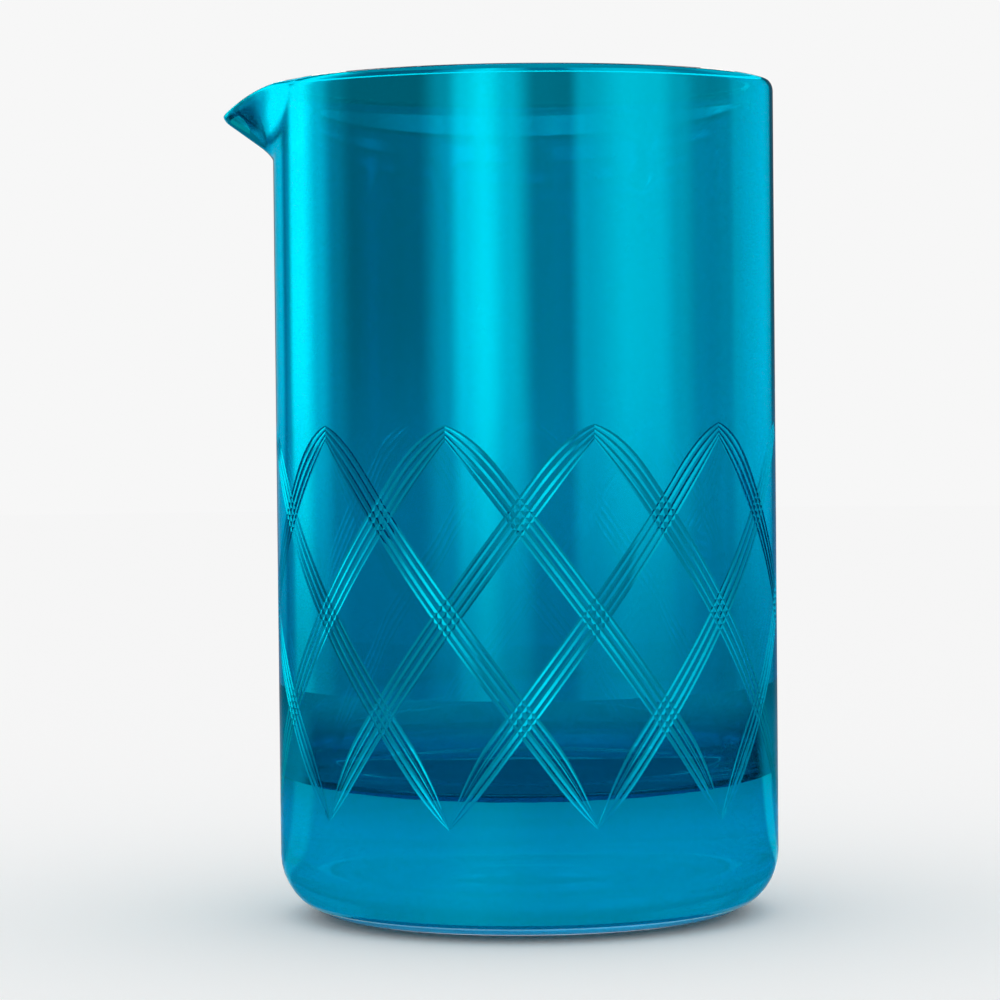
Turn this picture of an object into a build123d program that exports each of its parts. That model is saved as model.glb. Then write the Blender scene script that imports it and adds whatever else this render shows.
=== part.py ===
from build123d import *
import os
from math import exp, hypot, sqrt

os.makedirs("parts", exist_ok=True)

# A mixing glass: a straight glass vessel with a heavy base and a pulled pouring spout,
# and a translucent colour coat over its outside.
# Frame: millimetres, +Z up, origin on the table at the vessel's axis, spout towards -X.

# Vessel
body_radius = 45.3
body_height = 150.0
wall = 2.7
floor_thickness = 24.5
foot_radius = 11.0
cavity_corner_radius = 7.0
lip_radius = 0.8

# Pouring spout, pulled out of the wall
spout_reach = 9.8
spout_drop = 5.5
spout_depth = 15.0
keel_bend = 4.2
nose_radius = 1.3
skirt_length = 4.4
skirt_half_width = 19.0
skirt_sink = 0.45
channel_lift = 2.2
channel_widening = 1.12
lip_bend_inset = 2.5

# Colour coat on the outside of the glass
coat_thickness = 0.25
coat_foot_gap = 1.2

# Points along a spout section, sections up the spout, and how far a cutting shape runs on
outline_steps = 12
section_steps = 6
overrun = 5.0

# Worked out from the sizes above
cavity_radius = body_radius - wall
spout_tip_height = body_height - spout_drop
keel_start = body_height - spout_depth
tip_reach = spout_reach + skirt_sink
keel_slope = tip_reach / (spout_tip_height - keel_start - keel_bend / 2)
nose_softness = nose_radius * tip_reach / skirt_length
spout_root = overrun - sqrt(cavity_radius**2 - skirt_half_width**2)


def keel_reach(height):
    """Reach of the spout's keel at a height: a parabola that runs on as a straight line."""
    rise = max(height - keel_start, 0.0)
    if rise < keel_bend:
        return keel_slope * rise**2 / (2 * keel_bend)
    return keel_slope * (rise - keel_bend / 2)


def spout_section(height, base_radius, reach, sink):
    """Face across the spout: a rounded nose, with skirts that sink into the wall."""
    outline = []
    for step in range(outline_steps + 1):
        side = skirt_half_width * (2 * step / outline_steps - 1)
        bulge = reach * exp((nose_softness - hypot(side, nose_softness)) / skirt_length)
        outline.append((sink - bulge - sqrt(base_radius**2 - side**2), side))
    with BuildSketch(Plane.XY.offset(height)) as section:
        with BuildLine():
            Spline(*outline)
            Polyline(
                outline[-1],
                (spout_root, skirt_half_width),
                (spout_root, -skirt_half_width),
                outline[0],
            )
        make_face()
    return section.sketch


def spout_solid(base_radius, lift, widening, inset):
    """Solid of the spout, lofted through its sections and on past the lip."""
    sections = []
    for step in range(section_steps + 1):
        height = keel_start + (spout_depth + overrun) * step / section_steps
        reach = widening * keel_reach(height - lift)
        sections.append(spout_section(height, base_radius, reach, skirt_sink + inset))
    with BuildPart() as solid:
        loft(sections=sections)
    return solid.part


outer_spout = spout_solid(body_radius, 0.0, 1.0, 0.0)
glass_spout = spout_solid(body_radius, 0.0, 1.0, coat_thickness)
spout_channel = spout_solid(cavity_radius, channel_lift, channel_widening, 0.0)

# What lies above the lip: level over the mouth, falling away over the spout
lip_bend = lip_bend_inset - body_radius
lip_tip = -body_radius - spout_reach
cut_end = lip_tip - 4 * overrun
cut_top = body_height + 2 * overrun
with BuildPart() as above_lip:
    with BuildSketch(Plane.XZ.offset(-body_radius - overrun)):
        with BuildLine():
            fall = Spline(
                (lip_bend, body_height),
                (lip_tip, spout_tip_height),
                (cut_end, spout_tip_height - 3 * overrun),
                tangents=((-1, 0), (-1, -0.75)),
            )
            Polyline(
                fall @ 1,
                (cut_end, cut_top),
                (body_radius + overrun, cut_top),
                (body_radius + overrun, body_height),
                fall @ 0,
            )
        make_face()
    extrude(amount=2 * (body_radius + overrun))

# The whole vessel, glass and coat together
with BuildPart() as vessel:
    with BuildSketch():
        Circle(body_radius)
    extrude(amount=body_height)
    fillet(vessel.edges().group_by(Axis.Z)[0], foot_radius)
    add(outer_spout)
    # Cavity with a rounded corner at its floor
    with BuildSketch(Plane.XZ):
        with BuildLine():
            corner = RadiusArc(
                (cavity_radius - cavity_corner_radius, floor_thickness),
                (cavity_radius, floor_thickness + cavity_corner_radius),
                -cavity_corner_radius,
            )
            Polyline(
                corner @ 1,
                (cavity_radius, body_height + overrun),
                (0, body_height + overrun),
                (0, floor_thickness),
                corner @ 0,
            )
        make_face()
    revolve(axis=Axis.Z, mode=Mode.SUBTRACT)
    add(spout_channel, mode=Mode.SUBTRACT)
    add(above_lip.part, mode=Mode.SUBTRACT)
    # Fire-polished lip: round every edge that only one of the lip's faces has
    level_lip = vessel.faces().filter_by(Axis.Z).sort_by(Axis.Z)[-1]
    lip_edges = (vessel.faces().filter_by(GeomType.EXTRUSION) + [level_lip]).edges()
    fillet(
        lip_edges.filter_by(lambda edge: sum(edge.is_same(other) for other in lip_edges) == 1),
        lip_radius,
    )

# The space inside the coat, which the coat leaves open at the foot
with BuildPart() as inside_coat:
    with BuildSketch():
        Circle(body_radius - coat_thickness)
    extrude(amount=body_height + overrun)
    fillet(inside_coat.edges().group_by(Axis.Z)[0], foot_radius)
    add(glass_spout)
    with BuildSketch():
        Circle(2 * body_radius)
    extrude(amount=coat_foot_gap)

with BuildPart() as colour_coat:
    add(vessel.part)
    add(inside_coat.part, mode=Mode.SUBTRACT)

with BuildPart() as glass_body:
    add(vessel.part)
    add(colour_coat.part, mode=Mode.SUBTRACT)

glass_body.part.label = "glass_body"
colour_coat.part.label = "colour_coat"
for piece in (glass_body.part, colour_coat.part):
    export_step(piece, f"parts/{piece.label}.step")
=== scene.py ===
import logging
from dataclasses import dataclass, field
from enum import Enum
from math import atan2, cos, exp, hypot, pi, radians, sin, tau

import bmesh
import bpy
from mathutils import Matrix, Vector


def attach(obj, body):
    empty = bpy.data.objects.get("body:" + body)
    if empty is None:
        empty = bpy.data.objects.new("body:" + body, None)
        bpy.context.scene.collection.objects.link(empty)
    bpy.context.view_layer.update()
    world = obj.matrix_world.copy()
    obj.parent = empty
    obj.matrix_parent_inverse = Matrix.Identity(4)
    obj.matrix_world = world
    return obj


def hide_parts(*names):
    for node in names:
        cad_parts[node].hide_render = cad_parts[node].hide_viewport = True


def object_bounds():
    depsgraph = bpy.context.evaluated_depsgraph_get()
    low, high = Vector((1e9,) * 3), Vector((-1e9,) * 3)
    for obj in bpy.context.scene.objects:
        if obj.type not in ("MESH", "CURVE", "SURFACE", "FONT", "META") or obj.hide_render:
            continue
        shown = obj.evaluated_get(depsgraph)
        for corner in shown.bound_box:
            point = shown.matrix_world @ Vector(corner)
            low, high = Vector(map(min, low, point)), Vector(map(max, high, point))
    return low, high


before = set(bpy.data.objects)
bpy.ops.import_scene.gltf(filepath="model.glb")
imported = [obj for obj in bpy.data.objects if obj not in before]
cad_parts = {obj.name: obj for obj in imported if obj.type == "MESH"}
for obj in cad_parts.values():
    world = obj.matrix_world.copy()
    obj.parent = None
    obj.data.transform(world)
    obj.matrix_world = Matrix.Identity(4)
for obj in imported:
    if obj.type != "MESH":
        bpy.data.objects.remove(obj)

CAD_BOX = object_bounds()
MM = 0.001
TOUCH = 1e-7
MERGE = 1e-6
MIX_A, MIX_B, MIX_RESULT = 6, 7, 2
WHITE = (1.0, 1.0, 1.0)
log = logging.getLogger("mixing_glass")


class Sight(Enum):
    """Which rays see a light surface, as mirrored ones and ones through the glass."""

    MIRRORED = (True, False)
    THROUGH = (False, True)
    BOTH = (True, True)


@dataclass(frozen=True)
class GlassFinish:
    """A see-through finish: its tint, its mirror share and how its surface wanders.

    Attributes:
        name: Name of the material.
        slot: Name of the record's material slot meant for this finish; not used.
        tint: Linear colour where the finish is thin.
        deep_tint: Linear colour where it is thick.
        metallic: Share of the surface that mirrors.
        ior: Index of refraction.
        roughness: Roughness of the polished surface.
        wander: Height of the bump, in metres.
        repeat: How often the tint and the bump wander in a metre.
        edge_tint: Linear colour of the mirroring at a grazing angle.
    """

    name: str
    slot: str
    tint: tuple[float, float, float]
    deep_tint: tuple[float, float, float]
    metallic: float
    ior: float
    roughness: float
    wander: float = 0.02 * MM
    repeat: float = 38.0
    edge_tint: tuple[float, float, float] = WHITE


@dataclass(frozen=True)
class Glow:
    """The finish of a light surface.

    Attributes:
        name: Name of the material.
        strength: Strength of the light.
        colour: Linear colour of the light, where it is the same all round.
        stops: Angle from the camera's side, in degrees, and level, where it isn't.
        blue: Share of blue where the level is low.
    """

    name: str
    strength: float
    colour: tuple[float, float, float] = WHITE
    stops: tuple[tuple[float, float], ...] = ()
    blue: float = 1.0


CLEAR = GlassFinish(
    name="clear_glass",
    slot="clear_glass",
    tint=(0.93, 0.985, 1.0),
    deep_tint=(0.88, 0.97, 1.0),
    metallic=0.0,
    ior=1.5,
    roughness=0.0,
)
COAT = GlassFinish(
    name="blue_coat",
    slot="blue_coat",
    tint=(0.0, 0.64, 0.83),
    deep_tint=(0.0, 0.58, 0.79),
    metallic=0.45,
    ior=1.01,
    roughness=0.0,
    edge_tint=(0.05, 0.75, 0.9),
)


DRUM = Glow(
    name="drum_light",
    strength=1.0,
    stops=(
        (-180, 0.03), (-168, 0.04), (-158, 0.32), (-145, 0.42), (-138, 0.10), (-134, 0.20),
        (-127, 0.80), (-118, 0.80), (-104, 0.36), (-92, 0.14), (-80, 0.08), (-47, 0.08),
        (-34, 0.22), (-26, 0.48), (-17, 0.64), (-6, 0.40), (6, 0.13), (19, 0.12), (26, 0.30),
        (46, 0.44), (60, 0.41), (72, 0.28), (84, 0.17), (92, 0.15), (102, 0.17), (110, 0.28),
        (130, 0.38), (141, 0.42), (148, 0.34), (155, 0.06), (180, 0.03),
    ),
    blue=1.08,
)
TRAY = Glow(
    name="tray_light",
    strength=0.55,
    stops=(
        (-180, 0.9), (-132, 0.9), (-124, 1.6), (-112, 1.5), (-104, 0.9), (-40, 0.9), (-16, 1.1),
        (10, 0.9), (124, 0.85), (129, 2.2), (137, 2.2), (142, 0.9), (180, 0.9),
    ),
    blue=1.2,
)
APRON = Glow(
    name="apron_light",
    strength=1.0,
    stops=(
        (-180, 0.2), (-160, 0.5), (-124, 0.55), (-106, 0.0), (120, 0.0), (134, 0.6), (150, 0.5),
        (180, 0.2),
    ),
    blue=1.3,
)
# Painted light and shade of the table as seen through the glass: half lit on the camera's side,
# painted shade with no light behind the glass.
TABLE_SHADING = Glow(
    name="painted_table_shading",
    strength=1.0,
    stops=((-180, 0.0), (-130, 0.0), (-105, 0.5), (105, 0.5), (130, 0.0), (180, 0.0)),
    blue=1.3,
)
KERB = Glow(name="kerb_light", strength=1.0, colour=(1, 0.85, 1.1))
RING = Glow(name="ring_light", strength=2.6, colour=(1, 1, 0.9))
LID = Glow(name="lid_light", strength=0.8)
SKIRT = Glow(name="skirt_light", strength=1.1, colour=(1, 0.9, 1.05))
# Painted shadow of the glass on the table under it, seen only through the glass: a dim glow, blue
# as painted light that came through the coat.
SHADOW_DISC = Glow(name="painted_shadow_under_glass", strength=0.36, colour=(0.12, 0.42, 0.8))


def link(
    tree: bpy.types.NodeTree, source: bpy.types.NodeSocket, target: bpy.types.NodeSocket
) -> None:
    """Joins an output socket to an input socket."""
    tree.links.new(source, target)


def wander_group(stretch_up: float = 0.3, detail: float = 3.0) -> bpy.types.NodeTree:
    """Makes the node group that both glass finishes wander with.

    Args:
        stretch_up: Share of the repeat that is left up the wall, which draws the clouds out.
        detail: Octaves of the clouds.

    Returns:
        A group with a tint between two colours and a height.
    """
    group = bpy.data.node_groups.new("hand_blown_wander", "ShaderNodeTree")
    for name, kind in (
        ("Thin", "NodeSocketColor"),
        ("Thick", "NodeSocketColor"),
        ("Scale", "NodeSocketFloat"),
    ):
        group.interface.new_socket(name=name, in_out="INPUT", socket_type=kind)
    for name, kind in (("Tint", "NodeSocketColor"), ("Height", "NodeSocketFloat")):
        group.interface.new_socket(name=name, in_out="OUTPUT", socket_type=kind)
    inputs = group.nodes.new("NodeGroupInput")
    outputs = group.nodes.new("NodeGroupOutput")
    place = group.nodes.new("ShaderNodeTexCoord")
    stretch = group.nodes.new("ShaderNodeMapping")
    stretch.inputs["Scale"].default_value = (1.0, 1.0, stretch_up)
    clouds = group.nodes.new("ShaderNodeTexNoise")
    clouds.inputs["Detail"].default_value = detail
    mix = group.nodes.new("ShaderNodeMix")
    mix.data_type = "RGBA"
    link(group, place.outputs["Object"], stretch.inputs["Vector"])
    link(group, stretch.outputs["Vector"], clouds.inputs["Vector"])
    link(group, inputs.outputs["Scale"], clouds.inputs["Scale"])
    link(group, clouds.outputs["Fac"], mix.inputs["Factor"])
    link(group, inputs.outputs["Thin"], mix.inputs[MIX_A])
    link(group, inputs.outputs["Thick"], mix.inputs[MIX_B])
    link(group, mix.outputs[MIX_RESULT], outputs.inputs["Tint"])
    link(group, clouds.outputs["Fac"], outputs.inputs["Height"])
    return group


def glass_material(finish: GlassFinish, wander: bpy.types.NodeTree) -> bpy.types.Material:
    """Makes the material of one glass finish.

    Args:
        finish: The finish to make.
        wander: The shared node group of the tint and the height.

    Returns:
        The new material.
    """
    material = bpy.data.materials.new(finish.name)
    material.use_nodes = True
    tree = material.node_tree
    shader = tree.nodes["Principled BSDF"]
    shader.inputs["Metallic"].default_value = finish.metallic
    shader.inputs["Transmission Weight"].default_value = 1.0
    shader.inputs["IOR"].default_value = finish.ior
    shader.inputs["Specular Tint"].default_value = (*finish.edge_tint, 1.0)
    shader.inputs["Roughness"].default_value = finish.roughness
    group = tree.nodes.new("ShaderNodeGroup")
    group.node_tree = wander
    group.inputs["Thin"].default_value = (*finish.tint, 1.0)
    group.inputs["Thick"].default_value = (*finish.deep_tint, 1.0)
    group.inputs["Scale"].default_value = finish.repeat
    link(tree, group.outputs["Tint"], shader.inputs["Base Color"])
    bump = tree.nodes.new("ShaderNodeBump")
    bump.inputs["Distance"].default_value = finish.wander
    link(tree, group.outputs["Height"], bump.inputs["Height"])
    link(tree, bump.outputs["Normal"], shader.inputs["Normal"])
    return material


@dataclass
class Lattice:
    """The diamond lattice that is ground into the wall, drawn on half a repeat laid flat.

    The flat sheet has X along the girth from a peak to the valley beside it, Y into the
    glass and Z up.

    Attributes:
        radius: Radius of the wall.
        repeats: Diamonds round the girth.
        peak: Height of the topmost crossing of two bands.
        row: Height from one row of crossings to the next.
        cuts: Middle and half width of each wheel cut across a band.
        lean: Depth of a cut for each metre of its half width, at the top of the lattice.
        low_lean: The same at the bottom of the lattice.
        columns: Flats of the wall in half a repeat.
        bottom_edge: Height where the sheet starts.
        top_edge: Height where the sheet ends.
        peak_draw_in: Length over which the bands draw together towards the peaks.
        peak_squeeze: Width that is left at the peaks.
        peak_sag: How far the peaks sink below their crossings.
        tip_draw_in: Length over which the bands draw together towards the bottom tips.
        tip_squeeze: Width that is left at the bottom tips.
        tip_sag: How far the tips sink.
        lost_cut: The cut that runs out before the bottom tips.
        settle: Height over which the plain glass takes up the drawing in.
        least_depth: Share of a cut's depth that is left where its band is narrowest.
    """

    radius: float
    repeats: int = 11
    peak: float = 90.2 * MM
    row: float = 17.15 * MM
    cuts: tuple[tuple[float, float], ...] = (
        (-1.92 * MM, 0.36 * MM),
        (-0.78 * MM, 0.48 * MM),
        (0.62 * MM, 0.44 * MM),
        (1.84 * MM, 0.38 * MM),
    )
    lean: float = 0.34
    low_lean: float = 0.24
    columns: int = 10
    peak_draw_in: float = 10.0 * MM
    peak_squeeze: float = 0.36
    peak_sag: float = 2.8 * MM
    tip_draw_in: float = 7.5 * MM
    tip_squeeze: float = 0.1
    tip_sag: float = 1.7 * MM
    lost_cut: int = 2
    settle: float = 5.0 * MM
    least_depth: float = 0.3
    bottom_edge: float = 14.0 * MM
    top_edge: float = 97.0 * MM
    half_width: float = field(init=False)
    slope: float = field(init=False)

    def __post_init__(self) -> None:
        """Works out the half repeat and the lean of the bands."""
        self.half_width = pi * self.radius / self.repeats
        self.slope = atan2(self.row, self.half_width)

    def bands(self) -> list[tuple[float, float]]:
        """Returns each band's height at the peak's line and its rise across the sheet."""
        ends = [(0, 1), (2, 1), (2, 3), (4, 3)]
        return [(self.peak - a * self.row, (a - b) * self.row) for a, b in ends]

    def sheet(self) -> bmesh.types.BMesh:
        """Grinds the bands into half a repeat.

        Returns:
            A flat sheet whose Y holds the depth of the cuts.
        """
        sheet = bmesh.new()
        bmesh.ops.create_grid(sheet, x_segments=1, y_segments=1, size=0.5)
        height = self.top_edge - self.bottom_edge
        turn = Matrix.Rotation(pi / 2, 4, "X")
        grow = Matrix.Diagonal((self.half_width, 1.0, height, 1.0))
        shift = Matrix.Translation((self.half_width / 2, 0, self.bottom_edge + height / 2))
        bmesh.ops.transform(sheet, matrix=shift @ grow @ turn, verts=sheet.verts)
        for start, rise in self.bands():
            across = Vector((-rise, 0, self.half_width)).normalized()
            for middle, half in self.cuts:
                for offset in (middle - half, middle, middle + half):
                    self._score(sheet, Vector((0, 0, start)) + across * offset, across)
        for vertex in sheet.verts:
            vertex.co.y = self._depth_at(vertex.co.x, vertex.co.z)
        self._crease(sheet)
        for column in range(1, self.columns):
            place = Vector((self.half_width * column / self.columns, 0, 0))
            self._score(sheet, place, Vector((1, 0, 0)))
        for vertex in sheet.verts:
            self._draw_in(vertex)
        return sheet

    def half_band(self) -> float:
        """Returns half the width of a band."""
        return max(abs(middle) + half for middle, half in self.cuts)

    def _draw_in(self, vertex: bmesh.types.BMVert) -> None:
        """Draws the ends of the bands together at the peaks and at the bottom tips.

        Args:
            vertex: The vertex of the sheet that is moved.
        """
        half_band = self.half_band() / cos(self.slope)
        for band, draw_in, squeeze, sag, border in (
            (self.bands()[0], self.peak_draw_in, self.peak_squeeze, self.peak_sag, self.top_edge),
            (self.bands()[3], self.tip_draw_in, self.tip_squeeze, self.tip_sag, self.bottom_edge),
        ):
            spread = 1 - (1 - min(vertex.co.x / draw_in, 1.0)) ** 2
            line = band[0] + band[1] * vertex.co.x / self.half_width
            off = vertex.co.z - line
            scale = squeeze + (1 - squeeze) * spread
            held = min(max(off, -half_band), half_band)
            move = held * (scale - 1) - sag * (1 - spread)
            beyond = abs(off) - half_band
            if beyond > 0:
                outer = (off > 0) == (border > line)
                room = abs(border - line) - half_band if outer else self.settle
                move *= max(1.0 - beyond / room, 0.0)
            vertex.co.z += move
            if beyond < 0:
                vertex.co.y *= max(scale, self.least_depth)

    @staticmethod
    def _score(sheet: bmesh.types.BMesh, point: Vector, normal: Vector) -> None:
        """Cuts every face of the sheet along one straight line.

        Args:
            sheet: The flat half repeat.
            point: A point on the line.
            normal: The direction across the line.
        """
        everything = sheet.verts[:] + sheet.edges[:] + sheet.faces[:]
        bmesh.ops.bisect_plane(sheet, geom=everything, dist=TOUCH, plane_co=point, plane_no=normal)

    def _depth_at(self, x: float, z: float) -> float:
        """Finds how deep the sheet is cut at a point.

        Args:
            x: Distance from the peak's line.
            z: Height.

        Returns:
            The depth of the deepest cut over the point.
        """
        deepest = 0.0
        lowest_band = self.bands()[-1]
        rise = min(max((z - self.bottom_edge) / (self.peak - self.bottom_edge), 0.0), 1.0)
        lean = self.low_lean + (self.lean - self.low_lean) * rise
        for band in self.bands():
            off = (z - band[0] - band[1] * x / self.half_width) * cos(self.slope)
            for number, (middle, half) in enumerate(self.cuts):
                cut = lean * (half - abs(off - middle))
                if number == self.lost_cut and band == lowest_band:
                    cut *= min(x / self.tip_draw_in, 1.0)
                deepest = max(deepest, cut)
        return deepest

    @staticmethod
    def _crease(sheet: bmesh.types.BMesh) -> None:
        """Folds the small diamonds where two bands cross from their high corner.

        Args:
            sheet: The flat half repeat.
        """
        for face in sheet.faces[:]:
            if len(face.verts) == 4:
                corners = face.verts[:]
                high = min(range(4), key=lambda corner: corners[corner].co.y)
                bmesh.utils.face_split(face, corners[high], corners[high - 2])
        bmesh.ops.triangulate(sheet, faces=[face for face in sheet.faces if len(face.verts) > 3])


@dataclass
class Spout:
    """The pouring spout that is pulled out of the wall at -X.

    Attributes:
        radius: Outer radius of the wall.
        wall: Thickness of the wall.
        height: Height of the lip.
        reach: How far the tip stands out from the wall.
        drop: How far the tip lies under the lip.
        depth: How far the spout's root lies under the lip.
        bend: Height over which the keel turns out of the wall.
        nose: Rounding of the tip, across.
        skirt: Width over which the pull fades into the wall.
        sink: What is taken off the pull, so that it ends on the wall.
        lift: How much higher the inner face is pulled than the outer one.
        widening: How much further the inner face is pulled than the outer one.
        lip_inset: How far inside the wall the lip starts to fall.
        lip_fall: Slope of the lip at the tip.
        relief: Height of plain wall under the root that still gives way.
        settle_steps: Rounds in which the lip's height is found.
    """

    radius: float
    wall: float
    height: float
    reach: float = 9.8 * MM
    drop: float = 5.5 * MM
    depth: float = 15.0 * MM
    bend: float = 4.2 * MM
    nose: float = 1.3 * MM
    skirt: float = 4.4 * MM
    sink: float = 0.45 * MM
    lift: float = 2.2 * MM
    widening: float = 0.12
    lip_inset: float = 2.5 * MM
    lip_fall: float = 0.75
    relief: float = 4.0 * MM
    settle_steps: int = 24

    def keel(self, height: float) -> float:
        """Finds how far the spout's keel stands out.

        Args:
            height: Height on the wall.

        Returns:
            The keel's distance from the wall.
        """
        rise = max(height - self.height + self.depth, 0.0)
        slope = (self.reach + self.sink) / (self.depth - self.drop - self.bend / 2)
        if rise < self.bend:
            return slope * rise**2 / (2 * self.bend)
        return slope * (rise - self.bend / 2)

    def stand_out(self, side: float, height: float, inward: float) -> float:
        """Finds how far the wall is pulled out.

        Args:
            side: Distance from the spout's middle plane.
            height: Height on the pulled wall.
            inward: 0 on the outer face of the wall, 1 on the inner one.

        Returns:
            The distance by which the wall is pulled out.
        """
        softness = self.nose * (self.reach + self.sink) / self.skirt
        keel = (1 + self.widening * inward) * self.keel(height - self.lift * inward)
        bulge = keel * exp((softness - hypot(side, softness)) / self.skirt)
        return max(bulge - self.sink, 0.0)

    def lip_height(self, reach: float) -> float:
        """Finds the height of the lip.

        Args:
            reach: Distance from the axis.

        Returns:
            The lip's height there.
        """
        start = self.radius - self.lip_inset
        span = self.reach + self.lip_inset
        along = max(reach - start, 0.0) / span
        cubic = self.lip_fall * span - 2 * self.drop
        return self.height - (self.drop - cubic) * along**2 - cubic * along**3

    def pull(self, mesh: bmesh.types.BMesh) -> None:
        """Pulls the spout out of a wall that is still round.

        Args:
            mesh: The closed vessel or coat.
        """
        foot = self.height - self.depth - self.relief
        for vertex in mesh.verts:
            x, side, z = vertex.co
            if x > 0 or z < foot or abs(side) > self.radius / 2:
                continue
            inward = min(max((self.radius - hypot(x, side)) / self.wall, 0.0), 1.0)
            lip = self.height
            for _ in range(self.settle_steps):
                reach = -x + self.stand_out(side, lip, inward)
                lip = (lip + self.lip_height(hypot(reach, 0))) / 2
            height = foot + (z - foot) * (lip - foot) / (self.height - foot)
            vertex.co = (x - self.stand_out(side, height, inward), side, height)


@dataclass
class Vessel:
    """The blown vessel: its wall, heavy foot, cavity and lip, and the coat over it.

    Attributes:
        radius: Outer radius of the coated wall.
        height: Height of the lip.
        wall: Thickness of the wall.
        floor: Height of the cavity's floor.
        foot_round: Rounding of the foot.
        cavity_round: Rounding of the cavity's corner.
        lip_round: Rounding of the lip, across.
        lip_rise: Height of the rounding on the lip's outside.
        coat: Thickness of the coat.
        coat_seat: Play between the coat and the glass.
        coat_foot_gap: Height of the coat's lower edge.
        coat_lip_rows: Rows of the lip's rounding that the coat covers.
        first_peak: Turn of the first peak from the camera's side.
        arc_steps: Rows of a large rounding.
        lip_steps: Rows of a quarter of the lip's rounding.
        row: Height of a row where the spout is.
        plain_rows: Rows between the lattice and the spout.
        fold_angle: Fold from which an edge of a cut stays sharp.
        least_outward: How far a face has to look outwards to lie under the coat.
    """

    radius: float
    height: float
    wall: float = 2.7 * MM
    floor: float = 24.5 * MM
    foot_round: float = 11.0 * MM
    cavity_round: float = 7.0 * MM
    lip_round: float = 1.25 * MM
    lip_rise: float = 2.0 * MM
    coat: float = 0.1 * MM
    coat_seat: float = 0.02 * MM
    coat_foot_gap: float = 1.2 * MM
    coat_lip_rows: int = 7
    first_peak: float = radians(15.0)
    arc_steps: int = 10
    lip_steps: int = 10
    row: float = 1.0 * MM
    plain_rows: int = 3
    fold_angle: float = radians(4.0)
    least_outward: float = 0.02
    lattice: Lattice = field(init=False)
    spout: Spout = field(init=False)

    def __post_init__(self) -> None:
        """Lays out the lattice and the spout on the wall."""
        self.lattice = Lattice(self.radius)
        self.spout = Spout(self.radius, self.wall, self.height)

    def foot_path(self, lowest: float) -> list[tuple[float, float]]:
        """Lays out the foot's rounding.

        Args:
            lowest: Height below which the outline stops.

        Returns:
            Inset and height of each row from the wall down.
        """
        path = []
        for step in range(self.arc_steps + 1):
            turn = pi / 2 * step / self.arc_steps
            point = (self.foot_round * (1 - cos(turn)), self.foot_round * (1 - sin(turn)))
            if point[1] >= lowest:
                path.append(point)
        return path

    def wall_path(self, inset: float, low: float, high: float) -> list[tuple[float, float]]:
        """Lays out a straight wall, with close rows where the spout is.

        Args:
            inset: Distance of the wall from the outer face.
            low: Height of the first row.
            high: Height of the last row.

        Returns:
            Inset and height of each row from below upwards.
        """
        fine = self.height - self.spout.depth - self.spout.relief
        start = max(low, fine)
        path = []
        if low < fine:
            rows = self.plain_rows
            path = [(inset, low + (fine - low) * step / rows) for step in range(rows)]
        count = round((high - start) / self.row)
        return path + [(inset, start + (high - start) * step / count) for step in range(count + 1)]

    def lip_path(self) -> list[tuple[float, float]]:
        """Returns the outline over the fire-polished lip, from the outside inwards."""
        path = []
        for centre, first, rise in (
            (self.lip_round, 0.0, self.lip_rise),
            (self.wall - self.lip_round, pi / 2, self.lip_round),
        ):
            for step in range(self.lip_steps + 1):
                turn = first + pi / 2 * step / self.lip_steps
                inset = centre - self.lip_round * cos(turn)
                path.append((inset, self.height - rise * (1 - sin(turn))))
        return path

    def cavity_path(self) -> list[tuple[float, float]]:
        """Returns the outline from the cavity wall round its corner to the middle of the floor."""
        path = []
        for step in range(self.arc_steps + 1):
            turn = pi / 2 * step / self.arc_steps
            inset = self.wall + self.cavity_round * (1 - cos(turn))
            path.append((inset, self.floor + self.cavity_round * (1 - sin(turn))))
        return path + [(self.radius / 2, self.floor), (self.radius, self.floor)]

    def run_on(
        self, sheet: bmesh.types.BMesh, edge_height: float, path: list[tuple[float, float]]
    ) -> None:
        """Carries the sheet on from its upper or lower edge along an outline.

        Args:
            sheet: The flat half repeat.
            edge_height: Height of the edge that is carried on.
            path: Inset and height of each new row.
        """
        rim = [
            edge for edge in sheet.edges
            if all(abs(vertex.co.z - edge_height) < TOUCH for vertex in edge.verts)
        ]
        for inset, height in path:
            grown = bmesh.ops.extrude_edge_only(sheet, edges=rim)["geom"]
            rim = [item for item in grown if isinstance(item, bmesh.types.BMEdge)]
            for vertex in {vertex for edge in rim for vertex in edge.verts}:
                vertex.co.y = inset
                vertex.co.z = height

    def close_round(self, sheet: bmesh.types.BMesh) -> None:
        """Mirrors the half repeat, bends it round the axis and repeats it round the girth.

        Args:
            sheet: The flat half repeat with everything that runs on from it.
        """
        everything = sheet.verts[:] + sheet.edges[:] + sheet.faces[:]
        bmesh.ops.mirror(sheet, geom=everything, axis="X", merge_dist=MERGE)
        for vertex in sheet.verts:
            turn = self.first_peak + vertex.co.x / self.radius
            reach = self.radius - vertex.co.y
            vertex.co = (reach * sin(turn), -reach * cos(turn), vertex.co.z)
        repeats = self.lattice.repeats
        bmesh.ops.spin(
            sheet,
            geom=sheet.verts[:] + sheet.edges[:] + sheet.faces[:],
            cent=(0, 0, 0),
            axis=(0, 0, 1),
            angle=tau * (repeats - 1) / repeats,
            steps=repeats - 1,
            use_duplicate=True,
        )
        bmesh.ops.remove_doubles(sheet, verts=sheet.verts, dist=2 * MERGE)
        bmesh.ops.recalc_face_normals(sheet, faces=sheet.faces)

    def seat_under_coat(self, mesh: bmesh.types.BMesh) -> None:
        """Draws the glass in under the coat, by the coat's thickness and its seat.

        Args:
            mesh: The closed vessel.
        """
        mesh.normal_update()
        moves = {}
        for vertex in mesh.verts:
            away = vertex.co.xy
            if vertex.co.z <= 0 or away.length <= self.foot_round:
                continue
            if vertex.normal.xy.dot(away.normalized()) > self.least_outward:
                moves[vertex] = vertex.normal * (self.coat + self.coat_seat)
        for vertex, move in moves.items():
            vertex.co -= move

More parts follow.
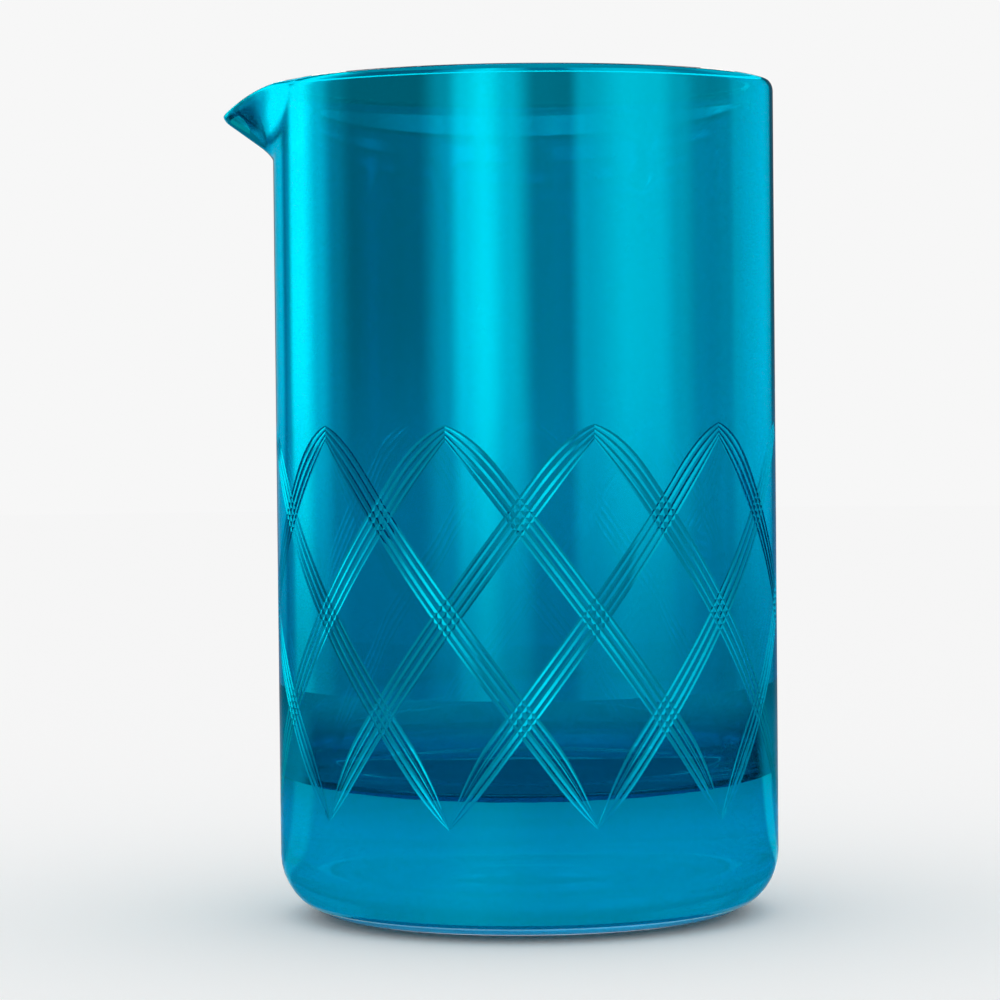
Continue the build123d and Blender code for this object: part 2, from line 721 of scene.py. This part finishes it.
    def glass(self) -> bpy.types.Object:
        """Makes the clear vessel.

        Returns:
            The vessel without its material.
        """
        sheet = self.lattice.sheet()
        upper = self.wall_path(0.0, self.lattice.top_edge, self.height - self.lip_rise)[1:]
        inner = self.wall_path(
            self.wall, self.floor + self.cavity_round, self.height - self.lip_round
        )[-2::-1]
        over = upper + self.lip_path()[1:] + inner + self.cavity_path()[1:]
        self.run_on(sheet, self.lattice.bottom_edge, self.foot_path(0.0) + [(self.radius, 0.0)])
        self.run_on(sheet, self.lattice.top_edge, over)
        self.close_round(sheet)
        self.spout.pull(sheet)
        self.seat_under_coat(sheet)
        return self.finished(sheet, "glass_body")

    def coat_shell(self) -> bpy.types.Object:
        """Makes the colour coat, a thin closed shell over the outside.

        Returns:
            The coat without its material.
        """
        sheet = self.lattice.sheet()
        upper = self.wall_path(0.0, self.lattice.top_edge, self.height - self.lip_rise)[1:]
        self.run_on(sheet, self.lattice.bottom_edge, self.foot_path(self.coat_foot_gap))
        over = upper + self.lip_path()[1:self.coat_lip_rows + 1]
        self.run_on(sheet, self.lattice.top_edge, over)
        self.close_round(sheet)
        self.spout.pull(sheet)
        bmesh.ops.solidify(sheet, geom=sheet.faces[:], thickness=self.coat)
        return self.finished(sheet, "colour_coat")

    def finished(self, mesh: bmesh.types.BMesh, name: str) -> bpy.types.Object:
        """Turns a finished mesh into an object whose cuts keep their edges.

        Args:
            mesh: The finished mesh, which is used up.
            name: Name of the object.

        Returns:
            The new object.
        """
        mesh.normal_update()
        for face in mesh.faces:
            face.smooth = True
        cut_ring = self.radius - self.wall / 4
        for edge in mesh.edges:
            ground = all(
                self.lattice.bottom_edge < vertex.co.z < self.lattice.top_edge
                and vertex.co.xy.length > cut_ring
                for vertex in edge.verts
            )
            edge.smooth = not ground or edge.calc_face_angle(0.0) < self.fold_angle
        data = bpy.data.meshes.new(name)
        mesh.to_mesh(data)
        mesh.free()
        piece = bpy.data.objects.new(name, data)
        bpy.context.scene.collection.objects.link(piece)
        return piece


@dataclass
class Studio:
    """The floor, the light and the camera.

    Attributes:
        drum_radius: Radius of the drum of light round the glass.
        drum_height: Height of the drum, where its lid lies.
        drum_sink: How far the drum reaches below the floor.
        drum_strength: Strength of the drum's light where it is at its full.
        drum_foot: Share of the light that is left at the drum's foot.
        drum_full: Height from which the drum's light is at its full.
        tint_top: Height from which the drum has its own colour.
        tint_share: Share of the foot's colour at the drum's foot.
        foot_colour: Linear colour that the drum's foot leans to.
        floor_radius: Radius of the floor.
        gap: Step in height from one flat surface under the glass to the next.
        disc_sides: Sides of a disc.
        hoop_sides: Sides of an upright wall.
        tray_radius: Outer radius of the light surface round the glass.
        tray_hole: Inner radius of the same.
        apron_plain: Distance at which the apron has its plain colour.
        apron_full: Distance at which it has the colour that is laid out round the glass.
        apron_colour: Plain linear colour of the apron.
        table_plain: Distance within which the table has its plain painted level.
        table_full: Distance from which it has the painted light and shade laid out round the glass.
        table_shade_colour: Plain linear colour of the table near the glass, a grey darker than the
            lit floor as painted shade.
        kerb_radius: Radius of the low wall of light round the foot.
        kerb_height: Height of the same.
        kerb_full: Height below which the kerb's light is at its full.
        kerb_strength: Strength of the kerb's light where it is at its full.
        skirt_hole: Inner radius of the ring of light inside the kerb, and radius of the disc of
            painted shadow.
        ring_rise: Height of the middle of the bright ring.
        ring_height: Height of the ring itself.
        ring_inset: Radius of the ring as a share of the drum's.
        strong_yellow: Blue that a full level loses.
        paper: Linear grey of the floor.
        sky_hidden: Light of the sky for mirrored rays and rays through the glass.
        sky_seen: Light of the sky for the camera and the floor.
        camera_place: Place of the camera.
        camera_heading: Turn of the camera to the left, in degrees.
        camera_dip: How far the camera looks down, in degrees.
        camera_roll: Roll of the camera, in degrees.
        lens: Focal length, in millimetres on a sensor of sensor_width.
        bounces: Bounces of a ray, and of a ray through glass.
        mirror_bounces: Bounces of a mirrored ray.
    """

    drum_radius: float = 0.55
    drum_height: float = 0.7
    drum_sink: float = 0.005
    drum_strength: float = 3.2
    drum_foot: float = 0.62
    drum_full: float = 0.095
    tint_top: float = 0.13
    tint_share: float = 0.6
    foot_colour: tuple[float, float, float] = (0.2, 0.2, 0.27)
    floor_radius: float = 2.4
    gap: float = 0.1 * MM
    disc_sides: int = 96
    hoop_sides: int = 128
    tray_radius: float = 0.268
    tray_hole: float = 0.0385
    apron_plain: float = 0.54
    apron_full: float = 0.36
    apron_colour: tuple[float, float, float] = (0.34, 0.34, 0.38)
    table_plain: float = 0.14
    table_full: float = 0.24
    table_shade_colour: tuple[float, float, float] = (0.48, 0.48, 0.52)
    kerb_radius: float = 0.062
    kerb_height: float = 0.024
    kerb_full: float = 0.013
    kerb_strength: float = 1.2
    skirt_hole: float = 0.040
    ring_rise: float = 0.34
    ring_height: float = 0.07
    ring_inset: float = 0.98
    strong_yellow: float = 0.33
    paper: float = 0.99
    sky_hidden: float = 0.06
    sky_seen: float = 0.93
    camera_place: tuple[float, float, float] = (0.0, -0.670, 0.0935)
    camera_heading: float = 0.41
    camera_dip: float = 1.61
    camera_roll: float = -0.56
    lens: float = 132.6
    sensor_width: float = 36.0
    bounces: int = 32
    mirror_bounces: int = 12

    def glow(self, finish: Glow) -> bpy.types.Material:
        """Makes the material of a light surface.

        Args:
            finish: The finish to make.

        Returns:
            The new material, whose colour may be laid out round the glass.
        """
        material = bpy.data.materials.new(finish.name)
        material.use_nodes = True
        tree = material.node_tree
        tree.nodes.clear()
        emission = tree.nodes.new("ShaderNodeEmission")
        emission.inputs["Color"].default_value = (*finish.colour, 1.0)
        emission.inputs["Strength"].default_value = finish.strength
        out = tree.nodes.new("ShaderNodeOutputMaterial")
        link(tree, emission.outputs["Emission"], out.inputs["Surface"])
        if finish.stops:
            link(tree, self.round_levels(tree, finish), emission.inputs["Color"])
        return material

    def round_levels(self, tree: bpy.types.NodeTree, finish: Glow) -> bpy.types.NodeSocket:
        """Makes a colour that rises and falls round the glass.

        Args:
            tree: The nodes of the material.
            finish: The finish with the levels.

        Returns:
            The socket with the colour.
        """
        place = tree.nodes.new("ShaderNodeTexCoord")
        turn = tree.nodes.new("ShaderNodeMapping")
        turn.inputs["Rotation"].default_value = (0, 0, pi / 2)
        around = tree.nodes.new("ShaderNodeTexGradient")
        around.gradient_type = "RADIAL"
        ramp = tree.nodes.new("ShaderNodeValToRGB")
        ramp.name = "Levels"
        ramp.color_ramp.interpolation = "EASE"
        elements = ramp.color_ramp.elements
        while len(elements) > 1:
            elements.remove(elements[-1])
        for index, (angle, level) in enumerate(finish.stops):
            share = (angle + 180) / 360
            item = elements[0] if index == 0 else elements.new(share)
            item.position = share
            blue = finish.blue - self.strong_yellow * min(level, 1.0)
            item.color = (level, level, level * blue, 1.0)
        link(tree, place.outputs["Object"], turn.inputs["Vector"])
        link(tree, turn.outputs["Vector"], around.inputs["Vector"])
        link(tree, around.outputs["Fac"], ramp.inputs["Fac"])
        return ramp.outputs["Color"]

    def height_of(self, tree: bpy.types.NodeTree) -> bpy.types.NodeSocket:
        """Makes the socket with the height over the floor.

        Args:
            tree: The nodes of the material.

        Returns:
            The socket with the height.
        """
        place = tree.nodes.new("ShaderNodeTexCoord")
        split = tree.nodes.new("ShaderNodeSeparateXYZ")
        link(tree, place.outputs["Object"], split.inputs["Vector"])
        return split.outputs["Z"]

    def fade(
        self,
        tree: bpy.types.NodeTree,
        measure: bpy.types.NodeSocket,
        ends: tuple[float, float],
        levels: tuple[float, float] = (0.0, 1.0),
    ) -> bpy.types.NodeSocket:
        """Makes a soft change from one level to another.

        Args:
            tree: The nodes of the material.
            measure: The height or distance that the level follows.
            ends: The measures at which the change starts and ends.
            levels: The levels there.

        Returns:
            The socket with the level.
        """
        change = tree.nodes.new("ShaderNodeMapRange")
        change.interpolation_type = "SMOOTHSTEP"
        change.inputs["From Min"].default_value = ends[0]
        change.inputs["From Max"].default_value = ends[1]
        change.inputs["To Min"].default_value = levels[0]
        change.inputs["To Max"].default_value = levels[1]
        link(tree, measure, change.inputs["Value"])
        return change.outputs["Result"]

    def drum_material(self) -> bpy.types.Material:
        """Makes the light of the drum, weaker and bluer at its foot.

        Returns:
            The new material.
        """
        material = self.glow(DRUM)
        tree = material.node_tree
        emission = tree.nodes["Emission"]
        height = self.height_of(tree)
        light = self.fade(tree, height, (-self.drum_sink, self.drum_full), (self.drum_foot, 1.0))
        strength = tree.nodes.new("ShaderNodeMath")
        strength.operation = "MULTIPLY"
        strength.inputs[1].default_value = self.drum_strength
        link(tree, light, strength.inputs[0])
        link(tree, strength.outputs["Value"], emission.inputs["Strength"])
        foot = tree.nodes.new("ShaderNodeMix")
        foot.data_type = "RGBA"
        foot.inputs[MIX_B].default_value = (*self.foot_colour, 1.0)
        share = self.fade(tree, height, (self.tint_top, -self.drum_sink), (0.0, self.tint_share))
        link(tree, share, foot.inputs["Factor"])
        link(tree, tree.nodes["Levels"].outputs["Color"], foot.inputs[MIX_A])
        link(tree, foot.outputs[MIX_RESULT], emission.inputs["Color"])
        return material

    def kerb_material(self) -> bpy.types.Material:
        """Makes the light of the kerb, which fades out towards its top.

        Returns:
            The new material.
        """
        material = self.glow(KERB)
        tree = material.node_tree
        ends = (self.kerb_height, self.kerb_full)
        light = self.fade(tree, self.height_of(tree), ends, (0.0, self.kerb_strength))
        link(tree, light, tree.nodes["Emission"].inputs["Strength"])
        return material

    def flat_material(
        self, finish: Glow, plain: tuple[float, float, float], plain_at: float, full_at: float
    ) -> bpy.types.Material:
        """Makes the light of a flat ring, plain at one distance and laid out at another.

        Args:
            finish: The finish with the levels round the glass.
            plain: The plain colour.
            plain_at: Distance from the axis at which the plain colour is alone.
            full_at: Distance from the axis at which the levels are alone.

        Returns:
            The new material.
        """
        material = self.glow(finish)
        tree = material.node_tree
        place = tree.nodes.new("ShaderNodeTexCoord")
        reach = tree.nodes.new("ShaderNodeVectorMath")
        reach.operation = "LENGTH"
        link(tree, place.outputs["Object"], reach.inputs[0])
        mix = tree.nodes.new("ShaderNodeMix")
        mix.data_type = "RGBA"
        mix.inputs[MIX_A].default_value = (*plain, 1.0)
        share = self.fade(tree, reach.outputs["Value"], (plain_at, full_at))
        link(tree, share, mix.inputs["Factor"])
        link(tree, tree.nodes["Levels"].outputs["Color"], mix.inputs[MIX_B])
        link(tree, mix.outputs[MIX_RESULT], tree.nodes["Emission"].inputs["Color"])
        return material

    def disc(self, radius: float, height: float) -> bmesh.types.BMesh:
        """Returns a flat disc at a height."""
        mesh = bmesh.new()
        bmesh.ops.create_circle(mesh, cap_ends=True, segments=self.disc_sides, radius=radius)
        bmesh.ops.translate(mesh, verts=mesh.verts, vec=(0, 0, height))
        return mesh

    def flat_ring(self, inner: float, outer: float, height: float) -> bmesh.types.BMesh:
        """Makes a flat ring round the axis.

        Args:
            inner: Radius of its hole.
            outer: Its outer radius.
            height: Its height over the floor.

        Returns:
            The ring.
        """
        ring = self.disc(outer, height)
        width = outer - inner
        bmesh.ops.inset_region(ring, faces=ring.faces[:], thickness=width, use_boundary=True)
        middle = min(ring.faces, key=lambda face: max(vertex.co.xy.length for vertex in face.verts))
        bmesh.ops.delete(ring, geom=[middle], context="FACES_ONLY")
        return ring

    def hoop(self, radius: float, depth: float, middle: float) -> bmesh.types.BMesh:
        """Makes an upright wall round the axis.

        Args:
            radius: Its radius.
            depth: Its height from edge to edge.
            middle: Height of its middle.

        Returns:
            The hoop.
        """
        mesh = bmesh.new()
        bmesh.ops.create_cone(
            mesh,
            cap_ends=False,
            segments=self.hoop_sides,
            radius1=radius,
            radius2=radius,
            depth=depth,
        )
        bmesh.ops.translate(mesh, verts=mesh.verts, vec=(0, 0, middle))
        return mesh

    def add(
        self, mesh: bmesh.types.BMesh, name: str, material: bpy.types.Material
    ) -> bpy.types.Object:
        """Adds a surface to the stage.

        Args:
            mesh: Its mesh, which is used up.
            name: Name of the object.
            material: Its material.

        Returns:
            The new object.
        """
        data = bpy.data.meshes.new(name)
        for face in mesh.faces:
            face.smooth = True
        mesh.to_mesh(data)
        mesh.free()
        data.materials.append(material)
        thing = bpy.data.objects.new(name, data)
        bpy.context.scene.collection.objects.link(thing)
        return thing

    def add_light(
        self, mesh: bmesh.types.BMesh, name: str, material: bpy.types.Material, sight: Sight
    ) -> None:
        """Adds a light surface that neither the camera nor the floor sees.

        Args:
            mesh: Its mesh, which is used up.
            name: Name of the object.
            material: Its material.
            sight: The rays that see it.
        """
        thing = self.add(mesh, name, material)
        thing.visible_camera = False
        thing.visible_diffuse = False
        thing.visible_shadow = False
        thing.visible_glossy, thing.visible_transmission = sight.value

    def add_floor(self) -> None:
        """Adds the plain pale floor."""
        paper = bpy.data.materials.new("pale_floor")
        paper.use_nodes = True
        shader = paper.node_tree.nodes["Principled BSDF"]
        shader.inputs["Base Color"].default_value = (self.paper, self.paper, self.paper, 1.0)
        shader.inputs["Specular IOR Level"].default_value = 0.0
        shader.inputs["Roughness"].default_value = 1.0
        floor = self.add(self.disc(self.floor_radius, -4 * self.gap), "floor", paper)
        floor.visible_glossy = False
        floor.visible_transmission = False

    def add_lights(self) -> None:
        """Adds the light surfaces round, over and under the glass."""
        apron_light = self.flat_material(
            APRON, self.apron_colour, self.apron_plain, self.apron_full
        )
        painted_table_shading = self.flat_material(
            TABLE_SHADING, self.table_shade_colour, self.table_plain, self.table_full
        )
        tray = self.flat_ring(self.tray_hole, self.tray_radius, -2 * self.gap)
        apron = self.flat_ring(self.tray_radius, self.drum_radius, -3 * self.gap)
        kerb = self.hoop(self.kerb_radius, self.kerb_height, self.kerb_height / 2)
        drum = self.hoop(self.drum_radius, self.drum_height, self.drum_height / 2 - self.drum_sink)
        ring = self.hoop(self.drum_radius * self.ring_inset, self.ring_height, self.ring_rise)
        lid = self.disc(self.drum_radius, self.drum_height)
        skirt = self.flat_ring(self.skirt_hole, self.kerb_radius, -self.gap)
        # The disc under the glass paints the glass's shadow on the table, in a dim blue of painted
        # light through the coat.
        shadow_disc = self.disc(self.skirt_hole, -self.gap)
        # The table seen through the glass glows with painted light and shade instead of being lit.
        table = self.flat_ring(self.kerb_radius, self.drum_radius, -self.gap)
        for mesh, name, material, sight in (
            (tray, "tray", self.glow(TRAY), Sight.MIRRORED),
            (apron, "apron", apron_light, Sight.MIRRORED),
            (kerb, "kerb", self.kerb_material(), Sight.THROUGH),
            (drum, "drum", self.drum_material(), Sight.BOTH),
            (ring, "ring", self.glow(RING), Sight.MIRRORED),
            (lid, "lid", self.glow(LID), Sight.MIRRORED),
            (skirt, "skirt", self.glow(SKIRT), Sight.THROUGH),
            (shadow_disc, "shadow_disc", self.glow(SHADOW_DISC), Sight.THROUGH),
            (table, "table", painted_table_shading, Sight.THROUGH),
        ):
            self.add_light(mesh, name, material, sight)

    def add_sky(self) -> None:
        """Adds the soft light that the camera and the floor see, and dims it for the glass."""
        world = bpy.data.worlds.new("studio")
        bpy.context.scene.world = world
        world.use_nodes = True
        tree = world.node_tree
        sky = tree.nodes["Background"]
        sky.inputs["Color"].default_value = (*WHITE, 1.0)
        path = tree.nodes.new("ShaderNodeLightPath")
        seen = tree.nodes.new("ShaderNodeMath")
        seen.operation = "MAXIMUM"
        level = tree.nodes.new("ShaderNodeMapRange")
        level.inputs["To Min"].default_value = self.sky_hidden
        level.inputs["To Max"].default_value = self.sky_seen
        link(tree, path.outputs["Is Camera Ray"], seen.inputs[0])
        link(tree, path.outputs["Is Diffuse Ray"], seen.inputs[1])
        link(tree, seen.outputs["Value"], level.inputs["Value"])
        link(tree, level.outputs["Result"], sky.inputs["Strength"])

    def add_camera(self) -> None:
        """Adds the camera and sets what the scene needs for glass."""
        data = bpy.data.cameras.new("camera")
        data.sensor_width = self.sensor_width
        data.lens = self.lens
        camera = bpy.data.objects.new("camera", data)
        scene = bpy.context.scene
        scene.collection.objects.link(camera)
        camera.matrix_world = (
            Matrix.Translation(self.camera_place)
            @ Matrix.Rotation(radians(self.camera_heading), 4, "Z")
            @ Matrix.Rotation(radians(90.0 - self.camera_dip), 4, "X")
            @ Matrix.Rotation(radians(self.camera_roll), 4, "Z")
        )
        scene.camera = camera
        scene.view_settings.view_transform = "Standard"
        scene.cycles.max_bounces = self.bounces
        scene.cycles.transmission_bounces = self.bounces
        scene.cycles.glossy_bounces = self.mirror_bounces

    def build(self) -> None:
        """Sets the stage."""
        self.add_floor()
        self.add_lights()
        self.add_sky()
        self.add_camera()


def main() -> None:
    """Builds the studio, the vessel and its coat."""
    logging.basicConfig(level=logging.INFO)
    Studio().build()
    low, high = CAD_BOX
    vessel = Vessel(radius=high[1], height=high[2])
    wander = wander_group()
    for piece, finish, node in (
        (vessel.glass(), CLEAR, "glass_body"),
        (vessel.coat_shell(), COAT, "colour_coat"),
    ):
        piece.name = node + "_visual"
        piece.data.materials.append(glass_material(finish, wander))
        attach(piece, "root")
        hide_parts(node)
        log.info("%s: %d faces", piece.name, len(piece.data.polygons))


if __name__ == "__main__":
    main()
